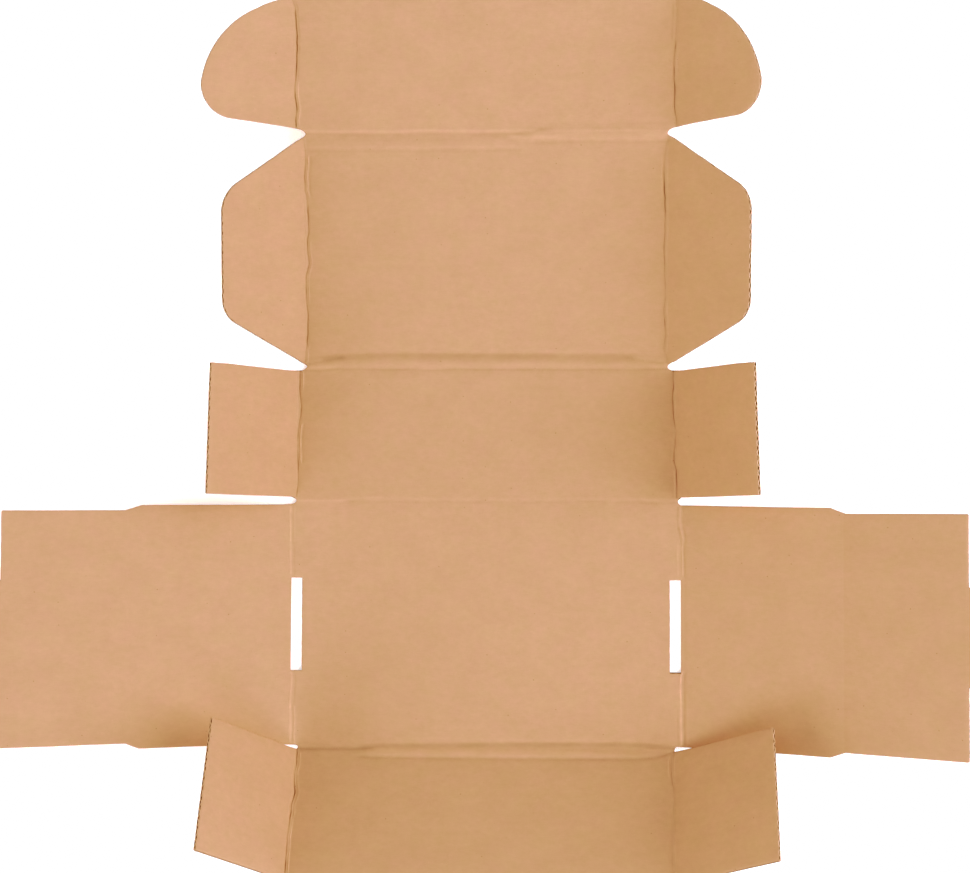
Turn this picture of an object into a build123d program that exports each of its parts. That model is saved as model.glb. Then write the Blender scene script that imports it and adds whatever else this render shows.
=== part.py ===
"""Die-cut corrugated board blank of a roll-end tuck-front mailer box, lying
unfolded with its inner face up.

One sheet: base, back wall, lid and tuck flap in one column, front wall below,
a side panel with a roll-over and a lock tab on each side, and four pairs of
ears.  The creases have been worked, so each panel stands at the angle that its
crease springs back to.  Every crease is a pressed strip, thinner than the
board, bent round its own radius; the flat panels keep the full thickness.

Millimetres.  Origin: middle of the base panel, underside.  +X is to the right
and +Y runs from the base over the back wall and the lid to the tuck flap.
"""
import os
from math import radians, degrees, sin, cos

from build123d import *

os.makedirs("parts", exist_ok=True)

# ---------------------------------------------------------------- dimensions
t = 3.0            # board thickness, B flute
press = 0.5        # depth of the pressed crease strips, on the inner face

base_half = 134.9      # base to side-panel crease, from the middle line
side_half_h = 82.0     # half height of the side panel next to the base
roll_half_h = 78.4     # half height of the roll-over part
step_in = 237.0        # the step in the side panel starts here
step_out = 245.0       # and ends here, where the roll-over creases
side_end = 326.6       # free end of the roll-over part
tab_end = 333.0        # free end of the lock tab
tab_half = 31.4        # half width of the lock tab

slot_in, slot_out = 126.4, 134.0      # lock slots in the base, in x
slot_low, slot_high = -32.3, 31.3     # and in y

rear_low, rear_high = 82.0, 87.2      # rear crease strip and slit
front_low, front_high = -86.8, -82.0  # front crease strip and slit
back_end = 175.8       # back wall ends, lid crease strip starts
lid_start = 180.6      # lid starts
lid_end = 333.8        # lid ends, tuck crease strip starts
tuck_start = 339.6     # tuck flap starts
tuck_free = 427.5      # free edge of the tuck flap
front_free = -177.1    # free edge of the front wall

back_crease = 130.5    # creases of the ears, from the middle line
lid_crease = 124.2
tuck_crease = 129.4
front_crease = 128.9
strip = 4.0            # width of the ears' and side panels' crease strips
roll_strip = 3.0       # width of the roll-over crease strip

rear_tip = 131.6       # inner ends of the slits
front_tip = 129.8
slit_r = 2.4

# rest angles in degrees, 0 is flat, positive stands up towards the inner face
front_angle = 28.4
lid_angle = 5.6
tuck_angle = 6.7
side_angle = {-1: 16.0, 1: 23.2}      # left, right
roll_angle = {-1: 2.0, 1: 3.5}
back_ear = {-1: 52.7, 1: 55.2}
lid_ear = {-1: 40.0, 1: 40.0}
tuck_ear = {-1: 30.0, 1: 40.0}
front_ear = {-1: 53.8, 1: 41.9}


# ------------------------------------------------------------------- helpers
def panel_plane(origin, out, up):
    """Plane on a panel's inner face: local x runs outwards from the crease,
    local z is the inner face's normal."""
    return Plane(origin=origin, x_dir=out, z_dir=up)


def after_bend(pl, width, angle, thick=t):
    """Plane on the inner face of the panel that follows a crease strip.  pl
    lies at the strip's near edge, with local x pointing across the crease."""
    a = radians(angle)
    if abs(a) < 1e-6:
        return panel_plane(pl.origin + pl.x_dir * width, pl.x_dir, pl.z_dir)
    r_in = width / a - thick / 2
    centre = pl.origin + pl.z_dir * r_in
    out = pl.x_dir * cos(a) + pl.z_dir * sin(a)
    up = pl.z_dir * cos(a) - pl.x_dir * sin(a)
    return panel_plane(centre - up * r_in, out, up)


def bend_section(width, angle):
    """Closed profile of a pressed crease strip, in a plane whose local x runs
    across the crease and whose local y is the inner face's normal, with its
    origin on the inner face at the strip's near edge."""
    a = radians(angle)
    r_in = width / a - t / 2
    lo, hi = r_in + press, r_in + t

    def at(r, f):
        return (r * sin(a * f), r_in - r * cos(a * f))

    ThreePointArc(at(lo, 0), at(lo, 0.5), at(lo, 1))
    Line(at(lo, 1), at(hi, 1))
    ThreePointArc(at(hi, 1), at(hi, 0.5), at(hi, 0))
    Line(at(hi, 0), at(lo, 0))


def section_plane(pl, along):
    """Plane of the strip's profile, at distance along on the crease, so that
    its normal runs along the crease (local -y of the panel's plane)."""
    return Plane(origin=pl.origin + pl.y_dir * along, x_dir=pl.x_dir,
                 z_dir=-pl.y_dir)


# ---------------------------------------------------------------- the planes
flat = Plane(origin=(0, 0, t), x_dir=(1, 0, 0), z_dir=(0, 0, 1))

# across the front crease: local x points to the front (world -y)
front_near = Plane(origin=(0, front_high, t), x_dir=(0, -1, 0), z_dir=(0, 0, 1))
front_far = after_bend(front_near, front_high - front_low, front_angle)

# across the rear creases: local x points to the back (world +y)
lid_near = Plane(origin=(0, back_end, t), x_dir=(0, 1, 0), z_dir=(0, 0, 1))
lid_far = after_bend(lid_near, lid_start - back_end, lid_angle)
tuck_near = panel_plane(lid_far.origin + lid_far.x_dir * (lid_end - lid_start),
                        lid_far.x_dir, lid_far.z_dir)
tuck_far = after_bend(tuck_near, tuck_start - lid_end, tuck_angle)

with BuildPart() as blank:
    # base and back wall, which lie flat, with the rear slits' rounded ends
    with BuildSketch(flat):
        with BuildLine() as outline:
            e = base_half - strip / 2
            b = back_crease - strip / 2
            mid = (rear_low + rear_high) / 2
            Polyline((0, front_high), (e, front_high), (e, rear_low),
                     (e, rear_low + 0.4))
            ThreePointArc((e, rear_low + 0.4), (rear_tip, mid),
                          (b + strip, rear_high - 0.4))
            Polyline((b + strip, rear_high - 0.4), (b + strip, rear_high),
                     (b, rear_high), (b, back_end), (0, back_end))
            mirror(about=Plane.YZ)
        make_face()
    extrude(amount=-t)

    # the rear crease is worked but lies flat: a pressed strip across the sheet
    with BuildSketch(flat):
        with Locations((0, (rear_low + rear_high) / 2)):
            Rectangle(2 * (rear_tip - 2.6), 3.6)
    extrude(amount=-press, mode=Mode.SUBTRACT)

    # front crease, lid crease and tuck crease
    for near, width, angle, half in (
            (front_near, front_high - front_low, front_angle, front_tip + 1.1),
            (lid_near, lid_start - back_end, lid_angle, lid_crease + 2.0),
            (tuck_near, tuck_start - lid_end, tuck_angle, lid_crease + 2.0)):
        with BuildSketch(section_plane(near, half)):
            with BuildLine():
                bend_section(width, angle)
            make_face()
        extrude(amount=2 * half)

    # front wall, in its own plane: local x runs to the free edge
    with BuildSketch(front_far):
        f = front_crease - strip / 2
        d = front_low - front_free
        with BuildLine():
            Polyline((0, -f), (d, -f), (d, f), (0, f), close=True)
        make_face()
    extrude(amount=-t)

    # lid
    with BuildSketch(lid_far):
        w = lid_crease - strip / 2
        d = lid_end - lid_start
        with BuildLine():
            Polyline((0, -w), (d, -w), (d, w), (0, w), close=True)
        make_face()
    extrude(amount=-t)

    # tuck flap
    with BuildSketch(tuck_far):
        w = tuck_crease - strip / 2
        d = tuck_free - tuck_start
        with BuildLine():
            Polyline((0, -w), (d, -w), (d, w), (0, w), close=True)
        make_face()
    extrude(amount=-t)

    # notch ends between the lid's and its neighbours' ears, and the front slits
    for s in (-1, 1):
        for pl, along, reach, r in (
                (lid_near, (lid_start - back_end) / 2, lid_crease + 2.4, 2.4),
                (tuck_near, (tuck_start - lid_end) / 2, lid_crease + 2.9, 2.9),
                (front_near, (front_high - front_low) / 2, front_tip + 2.4, 2.4)):
            side = s if pl is front_near else -s
            with BuildSketch(pl.offset(1.2)):
                with Locations((along, side * reach)):
                    Circle(r)
            extrude(amount=-(t + 6.0), mode=Mode.SUBTRACT)

    # side panels, roll-over parts and lock tabs
    for s in (-1, 1):
        near = Plane(origin=(s * (base_half - strip / 2), 0, t),
                     x_dir=(s, 0, 0), z_dir=(0, 0, 1))
        far = after_bend(near, strip, side_angle[s])
        with BuildSketch(section_plane(near, side_half_h)):
            with BuildLine():
                bend_section(strip, side_angle[s])
            make_face()
        extrude(amount=2 * side_half_h)

        u0 = base_half + strip / 2
        with BuildSketch(far) as wall:
            with BuildLine():
                Polyline((0, -side_half_h), (step_in - u0, -side_half_h),
                         (step_out - u0, -roll_half_h),
                         (step_out - u0, roll_half_h),
                         (step_in - u0, side_half_h), (0, side_half_h),
                         close=True)
            make_face()
            fillet([v for v in wall.vertices()
                    if abs(v.X - (step_in - u0)) < 0.1], radius=3.0)
        extrude(amount=-t)

        roll_near = panel_plane(far.origin + far.x_dir * (step_out - u0),
                                far.x_dir, far.z_dir)
        roll_far = after_bend(roll_near, roll_strip, roll_angle[s])
        with BuildSketch(section_plane(roll_near, roll_half_h)):
            with BuildLine():
                bend_section(roll_strip, roll_angle[s])
            make_face()
        extrude(amount=2 * roll_half_h)

        u1 = step_out + roll_strip
        with BuildSketch(roll_far) as roll:
            with BuildLine():
                Polyline((0, -roll_half_h), (side_end - u1, -roll_half_h),
                         (side_end - u1, -tab_half), (tab_end - u1, -tab_half),
                         (tab_end - u1, tab_half), (side_end - u1, tab_half),
                         (side_end - u1, roll_half_h), (0, roll_half_h),
                         close=True)
            make_face()
            fillet([v for v in roll.vertices() if v.X > tab_end - u1 - 0.1],
                   radius=2.0)
            fillet([v for v in roll.vertices()
                    if abs(v.X - (side_end - u1)) < 0.1
                    and abs(v.Y) > roll_half_h - 0.1], radius=1.2)
        extrude(amount=-t)

    # ears: a crease strip and a panel on each side of the four walls
    for s in (-1, 1):
        # ---- back-wall ears, almost rectangular
        near = Plane(origin=(s * (back_crease - strip / 2), 0, t),
                     x_dir=(s, 0, 0), z_dir=(0, 0, 1))
        far = after_bend(near, strip, back_ear[s])
        top = back_end if s > 0 else -rear_high
        with BuildSketch(section_plane(near, top)):
            with BuildLine():
                bend_section(strip, back_ear[s])
            make_face()
        extrude(amount=back_end - rear_high)
        u0 = back_crease + strip / 2
        with BuildSketch(far) as ear:
            with BuildLine():
                Polyline((0, s * rear_high), (212.6 - u0, s * 89.6),
                         (209.5 - u0, s * 176.3), (0, s * back_end), close=True)
            make_face()
            fillet([v for v in ear.vertices() if v.X > 60], radius=1.2)
        extrude(amount=-t)

        # ---- front-wall ears
        o = front_far.origin + front_far.y_dir * (s * (front_crease - strip / 2))
        near = Plane(origin=o, x_dir=front_far.y_dir * s, z_dir=front_far.z_dir)
        far = after_bend(near, strip, front_ear[s])
        depth = front_low - front_free
        top = depth if s > 0 else 0
        # local y of this plane runs along the wall, to or from the free edge
        toward = 1 if near.y_dir.dot(front_far.x_dir) > 0 else -1
        start = depth if toward > 0 else 0
        with BuildSketch(section_plane(near, start)):
            with BuildLine():
                bend_section(strip, front_ear[s])
            make_face()
        extrude(amount=depth)
        u0 = front_crease + strip / 2
        with BuildSketch(far) as ear:
            with BuildLine():
                Polyline((0, 0), (210.2 - u0, toward * 1.7),
                         (210.2 - u0, toward * (depth - 0.7)),
                         (0, toward * depth), close=True)
            make_face()
            fillet([v for v in ear.vertices() if v.X > 60], radius=1.2)
        extrude(amount=-t)

        # ---- lid ears, tapered, with round shoulders
        o = lid_far.origin + lid_far.y_dir * (-s * (lid_crease - strip / 2))
        near = Plane(origin=o, x_dir=lid_far.y_dir * -s, z_dir=lid_far.z_dir)
        far = after_bend(near, strip, lid_ear[s])
        depth = lid_end - lid_start
        toward = 1 if near.y_dir.dot(lid_far.x_dir) > 0 else -1
        with BuildSketch(section_plane(near, depth if toward > 0 else 0)):
            with BuildLine():
                bend_section(strip, lid_ear[s])
            make_face()
        extrude(amount=depth)
        u0 = lid_crease + strip / 2
        reach = 189.8 - u0
        with BuildSketch(far) as ear:
            with BuildLine():
                Polyline((0, 0), (reach, toward * 33.0),
                         (reach, toward * (depth - 40.9)),
                         (0, toward * depth), close=True)
            make_face()
            fillet([v for v in ear.vertices()
                    if v.X > 60 and abs(v.Y) < depth / 2], radius=18.0)
            fillet([v for v in ear.vertices()
                    if v.X > 40 and abs(v.Y) > depth / 2 + 20], radius=22.0)
        extrude(amount=-t)

        # ---- tuck-flap ears, round
        o = tuck_far.origin + tuck_far.y_dir * (-s * (tuck_crease - strip / 2))
        near = Plane(origin=o, x_dir=tuck_far.y_dir * -s, z_dir=tuck_far.z_dir)
        far = after_bend(near, strip, tuck_ear[s])
        depth = tuck_free - tuck_start
        toward = 1 if near.y_dir.dot(tuck_far.x_dir) > 0 else -1
        with BuildSketch(section_plane(near, depth if toward > 0 else 0)):
            with BuildLine():
                bend_section(strip, tuck_ear[s])
            make_face()
        extrude(amount=depth)
        u0 = tuck_crease + strip / 2

        def q(u, v):
            return (u - u0, toward * (v - tuck_start))

        with BuildSketch(far):
            with BuildLine():
                Polyline(q(u0, tuck_free), q(u0, tuck_start),
                         q(178.0, 347.8))
                ThreePointArc(q(178.0, 347.8), q(191.0, 356.0),
                              q(195.8, 371.0))
                ThreePointArc(q(195.8, 371.0), q(182.8, 399.5),
                              q(156.0, 419.9))
                ThreePointArc(q(156.0, 419.9), q(144.5, 424.6),
                              q(u0, tuck_free))
            make_face()
        extrude(amount=-t)

    # lock slots, cut square through the base beside the side creases
    with BuildSketch(Plane.XY):
        with Locations((-(slot_in + slot_out) / 2, (slot_low + slot_high) / 2),
                       ((slot_in + slot_out) / 2, (slot_low + slot_high) / 2)):
            RectangleRounded(slot_out - slot_in, slot_high - slot_low, 0.4)
    extrude(amount=t + 2, both=True, mode=Mode.SUBTRACT)

blank.part.label = "box_blank"

bb = blank.part.bounding_box()
print("solids", len(blank.part.solids()), "valid", blank.part.is_valid)
print("bbox", [round(v, 2) for v in (bb.min.X, bb.min.Y, bb.min.Z,
                                     bb.max.X, bb.max.Y, bb.max.Z)])
print("volume cm3", round(blank.part.volume / 1000, 2),
      "area m2", round(blank.part.volume / t / 1e6, 4))

export_step(blank.part, "parts/box_blank.step")
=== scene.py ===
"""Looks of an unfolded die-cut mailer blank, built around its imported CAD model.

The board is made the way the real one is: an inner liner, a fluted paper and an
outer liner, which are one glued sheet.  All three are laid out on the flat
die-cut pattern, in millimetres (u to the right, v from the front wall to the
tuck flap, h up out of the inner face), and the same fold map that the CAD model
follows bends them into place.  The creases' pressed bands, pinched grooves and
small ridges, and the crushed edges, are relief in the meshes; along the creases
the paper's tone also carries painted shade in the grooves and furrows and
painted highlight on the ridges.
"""
from math import radians, degrees, sin, cos, tan, pi

import bpy
import bmesh
import numpy as np
from mathutils import Matrix, Vector, geometry, kdtree


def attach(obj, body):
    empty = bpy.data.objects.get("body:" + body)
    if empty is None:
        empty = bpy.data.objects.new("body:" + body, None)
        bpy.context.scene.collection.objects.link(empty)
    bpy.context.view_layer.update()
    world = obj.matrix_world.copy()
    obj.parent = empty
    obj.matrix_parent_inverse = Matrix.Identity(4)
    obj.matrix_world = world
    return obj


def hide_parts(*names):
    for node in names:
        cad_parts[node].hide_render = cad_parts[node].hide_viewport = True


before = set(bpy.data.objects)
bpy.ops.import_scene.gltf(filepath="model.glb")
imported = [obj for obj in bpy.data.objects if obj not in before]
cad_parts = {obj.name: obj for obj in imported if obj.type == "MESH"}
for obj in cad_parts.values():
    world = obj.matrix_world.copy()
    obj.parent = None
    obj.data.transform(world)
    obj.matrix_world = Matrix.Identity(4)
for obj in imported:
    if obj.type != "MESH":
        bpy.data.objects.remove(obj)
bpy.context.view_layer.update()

MM = 0.001

# ------------------------------------------------------------------ the pattern
t = 3.0                                   # board thickness
liner = 0.28                              # thickness of each liner
medium = 0.30                             # thickness of the fluted paper
pitch = 6.4                               # from flute to flute
base_half, side_half_h, roll_half_h = 134.9, 82.0, 78.4
step_in, step_out, side_end = 237.0, 245.0, 326.6
tab_end, tab_half = 333.0, 31.4
slot_in, slot_out, slot_low, slot_high = 126.4, 134.0, -32.3, 31.3
rear_low, rear_high = 82.0, 87.2
front_low, front_high = -86.8, -82.0
back_end, lid_start, lid_end, tuck_start = 175.8, 180.6, 333.8, 339.6
tuck_free, front_free = 427.5, -177.1
back_crease, lid_crease, tuck_crease, front_crease = 130.5, 124.2, 129.4, 128.9
strip, roll_strip = 4.0, 3.0

front_angle, lid_angle, tuck_angle = 28.4, 5.6, 6.7
side_angle = {-1: 16.0, 1: 23.2}
roll_angle = {-1: 2.0, 1: 3.5}
back_ear = {-1: 52.7, 1: 55.2}
lid_ear = {-1: 40.0, 1: 40.0}
tuck_ear = {-1: 30.0, 1: 40.0}
front_ear = {-1: 53.8, 1: 41.9}
front_skew = 1.27                         # the front wall leans to the left
# middle lines of the pressed bands across the column
FRONT, REAR = (front_low + front_high) / 2, (rear_low + rear_high) / 2
LID, TUCK = (back_end + lid_start) / 2, (lid_end + tuck_start) / 2


def hinge(s, width, angle):
    """Inner face of a sheet that bends by angle over a strip of that width:
    way along, way up and slope at distance s from the strip's near edge."""
    a = radians(angle)
    r = width / a - t / 2
    f = a * np.clip(s, 0, width) / width
    rest = np.maximum(s - width, 0)
    x = np.where(s < 0, s, r * np.sin(f) + rest * cos(a))
    z = np.where(s < 0, 0, r - r * np.cos(f) + rest * sin(a))
    return x, z, f


def chain(s, bends):
    """The same over several strips, bends being [(start, width, angle)]."""
    s = np.asarray(s, float)
    x, z, f = s.copy(), np.zeros_like(s), np.zeros_like(s)
    ox = oz = of = at = 0.0
    for start, width, angle in bends:
        ax = ox + (start - at) * cos(of)
        az = oz + (start - at) * sin(of)
        hx, hz, hf = hinge(s - start, width, angle)
        far = s > start
        x = np.where(far, ax + hx * cos(of) - hz * sin(of), x)
        z = np.where(far, az + hx * sin(of) + hz * cos(of), z)
        f = np.where(far, of + hf, f)
        ex, ez, ef = (q[0] for q in hinge(np.array([width]), width, angle))
        ox = ax + ex * cos(of) - ez * sin(of)
        oz = az + ex * sin(of) + ez * cos(of)
        of, at = of + radians(angle), start + width
    return x, z, f


def fold(u, v, h):
    """Points of the folded sheet, in millimetres, from the flat pattern."""
    u, v, h = (np.array(q, float).ravel() for q in np.broadcast_arrays(u, v, h))
    yb, zb, fb = chain(v, [(back_end, lid_start - back_end, lid_angle),
                           (lid_end, tuck_start - lid_end, tuck_angle)])
    yf, zf, ff = chain(-v, [(-front_high, front_high - front_low, front_angle)])
    front = v < front_high
    cy = np.where(front, -yf, yb)
    cz = np.where(front, zf, zb) + t
    slope = np.where(front, -ff, fb)
    # the side panels' lower edges run on past the front crease and stay flat
    level = np.clip((np.abs(u) - 129.5) / 2.5, 0, 1) * (front & (v > FRONT))
    cy, cz, slope = cy + level * (v - cy), cz + level * (t - cz), slope * (1 - level)
    x = np.abs(u)
    z, f = np.zeros_like(x), np.zeros_like(x)
    for s in (-1, 1):
        for lo, hi, bends in (
                (-1e9, FRONT, [(front_crease - strip / 2, strip, front_ear[s])]),
                (FRONT, REAR, [(base_half - strip / 2, strip, side_angle[s]),
                               (step_out, roll_strip, roll_angle[s])]),
                (REAR, LID, [(back_crease - strip / 2, strip, back_ear[s])]),
                (LID, TUCK, [(lid_crease - strip / 2, strip, lid_ear[s])]),
                (TUCK, 1e9, [(tuck_crease - strip / 2, strip, tuck_ear[s])])):
            m = (u * s > 0) & (v >= lo) & (v < hi)
            if m.any():
                # where the folds of the column cross an ear's crease, inside of
                # the notches, the ear's bend fades out
                near = np.minimum(v[m] - lo, hi - v[m])
                w = np.where(np.abs(u[m]) > 133, 1.0, np.clip(near / 2.4, 0, 1))
                w = w * w * (3 - 2 * w)
                cx, cz_, cf = chain(np.abs(u[m]), bends)
                x[m] += w * (cx - x[m])
                z[m], f[m] = w * cz_, w * cf
    x = x - np.sin(f) * h
    z = z + np.cos(f) * h
    d = np.maximum(front_high - v, 0) * (1 - level)
    px = np.sign(u) * x - tan(radians(front_skew)) * d * d / (d + 4.0)
    return np.stack([px, cy - np.sin(slope) * z, cz + np.cos(slope) * z], 1)


def fold_points(p, h):
    return fold(p[:, 0], p[:, 1], h)


# ------------------------------------------------------------- smooth noise
def lattice_noise(u, v, su, sv, seed):
    """Smooth noise from -1 to 1, with features su by sv millimetres."""
    rng = np.random.RandomState(seed)
    grid = rng.rand(257, 257) * 2 - 1
    a, b = u / su + 128.37, v / sv + 128.91
    i, j = np.floor(a).astype(int), np.floor(b).astype(int)
    fa, fb = a - i, b - j
    fa, fb = fa * fa * (3 - 2 * fa), fb * fb * (3 - 2 * fb)
    i, j = i % 256, j % 256
    return ((grid[i, j] * (1 - fa) + grid[i + 1, j] * fa) * (1 - fb)
            + (grid[i, j + 1] * (1 - fa) + grid[i + 1, j + 1] * fa) * fb)


# ------------------------------------------------------------ creases' lines
# Each line runs along a crease: [(way along, place across)].  Lines down the
# sides give the distance from the middle line at a height v; lines across the
# column give v at a place u.
EAR_LINES = {
    ("tuck", -1): [(427.5, 130.4), (425.2, 130.3), (420.6, 128.4), (411.4, 128.3),
                   (402.2, 127.7), (392.9, 127.9), (383.7, 128.8), (374.4, 129.5),
                   (369.7, 130.5), (362.3, 130.5), (355.6, 129.4), (351.0, 129.7),
                   (346.3, 130.4), (340.2, 130.0)],
    ("tuck", 1): [(427.5, 128.2), (423.2, 128.4), (416.1, 128.9), (400.4, 128.4),
                  (391.2, 127.8), (383.3, 127.2), (372.8, 127.4), (364.8, 127.9),
                  (354.2, 127.9), (348.9, 128.6), (344.2, 130.0), (340.2, 130.2)],
    ("lid", -1): [(333.4, 126.0), (325.0, 124.4), (318.9, 124.1), (308.0, 125.0),
                  (298.5, 125.0), (293.8, 123.6), (289.0, 122.9), (279.4, 122.3),
                  (269.9, 122.0), (265.1, 123.2), (255.5, 123.0), (248.0, 121.9),
                  (243.8, 123.3), (239.7, 124.6), (226.7, 124.6), (221.8, 124.2),
                  (212.2, 123.2), (197.7, 123.6), (192.2, 124.3), (188.1, 125.4),
                  (181.2, 125.6)],
    ("lid", 1): [(333.4, 124.6), (327.0, 122.6), (321.2, 121.7), (309.8, 121.3),
                 (297.6, 121.7), (288.1, 122.2), (273.9, 122.4), (265.1, 122.0),
                 (259.6, 121.5), (250.1, 121.9), (239.2, 122.4), (228.3, 122.9),
                 (221.5, 122.4), (216.7, 121.7), (207.1, 122.6), (197.5, 123.1),
                 (188.6, 122.2), (181.2, 124.4)],
    ("back", -1): [(175.6, 129.0), (172.0, 129.1), (162.3, 129.3), (155.4, 128.5),
                   (150.5, 127.9), (142.9, 128.3), (138.1, 129.5), (133.2, 130.5),
                   (123.5, 130.8), (113.8, 130.5), (104.2, 130.2), (94.5, 130.3),
                   (89.7, 131.5), (87.5, 131.7)],
    ("back", 1): [(175.6, 128.6), (170.6, 128.8), (163.8, 129.1), (156.9, 128.1),
                  (149.3, 128.6), (141.8, 128.9), (134.9, 130.8), (129.4, 130.8),
                  (120.5, 130.1), (111.6, 129.6), (106.1, 131.5), (96.5, 132.2),
                  (91.7, 132.3), (87.5, 132.2)],
    ("front", -1): [(-87.0, 130.3), (-89.6, 130.0), (-98.0, 129.4), (-103.8, 130.3),
                    (-109.4, 130.0), (-117.6, 128.1), (-122.6, 129.3),
                    (-127.6, 130.5), (-132.3, 130.1), (-137.2, 130.4),
                    (-146.8, 131.0), (-156.2, 130.7), (-164.2, 130.3),
                    (-170.2, 130.2), (-177.1, 130.3)],
    ("front", 1): [(-87.0, 129.4), (-88.6, 128.2), (-93.5, 127.0), (-103.4, 126.8),
                   (-111.8, 128.1), (-119.4, 128.7), (-127.6, 128.1),
                   (-141.9, 127.7), (-151.3, 126.3), (-160.7, 126.2),
                   (-165.3, 126.7), (-177.1, 127.2)],
}
SIDE_LINES = {
    -1: [(82.0, 135.2), (74.5, 135.6), (64.8, 135.3), (55.1, 135.4), (45.5, 135.2),
         (35.8, 134.9), (31.3, 135.2), (-32.3, 134.9), (-35.0, 134.0),
         (-41.9, 134.1), (-49.4, 134.6), (-57.0, 135.2), (-66.6, 134.9),
         (-78.2, 135.1), (-82.0, 135.0)],
    1: [(82.0, 133.3), (80.1, 133.1), (70.5, 132.9), (65.0, 133.8), (58.2, 135.3),
        (50.0, 134.7), (41.8, 135.0), (34.9, 135.1), (31.3, 135.2),
        (-32.3, 134.8), (-34.7, 133.6), (-44.2, 133.3), (-53.7, 133.6),
        (-68.0, 133.6), (-77.5, 133.9), (-82.0, 134.0)],
}


def line_at(points, s):
    """Place across of a crease's line at way s along it."""
    p = np.array(sorted(points), float)
    return np.interp(s, p[:, 0], p[:, 1])


def between(s, lo, hi, fade):
    """1 from lo to hi, and falling to 0 over fade outside them."""
    a = np.clip((s - lo + fade) / fade, 0, 1)
    b = np.clip((hi + fade - s) / fade, 0, 1)
    return a * a * (3 - 2 * a) * b * b * (3 - 2 * b)


def notch(d, half):
    """A pinched groove: 1 at its bottom, 0 from half its width on."""
    x = np.clip(1 - np.abs(d) / half, 0, 1)
    return x ** 1.25


def hump(d, half):
    x = np.clip(np.abs(d) / half, 0, 1)
    return (1 - x * x) ** 2


def edge(d, half):
    """A furrow that is steep on its upper side and runs out on its lower."""
    x = np.clip(np.where(d > 0, d / (0.6 * half), -d / (1.4 * half)), 0, 1)
    return (1 - x * x) ** 2


def graded(value, s):
    """A number, or a list of (way along, number) to read off at s."""
    return line_at(value, s) if isinstance(value, list) else value
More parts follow.
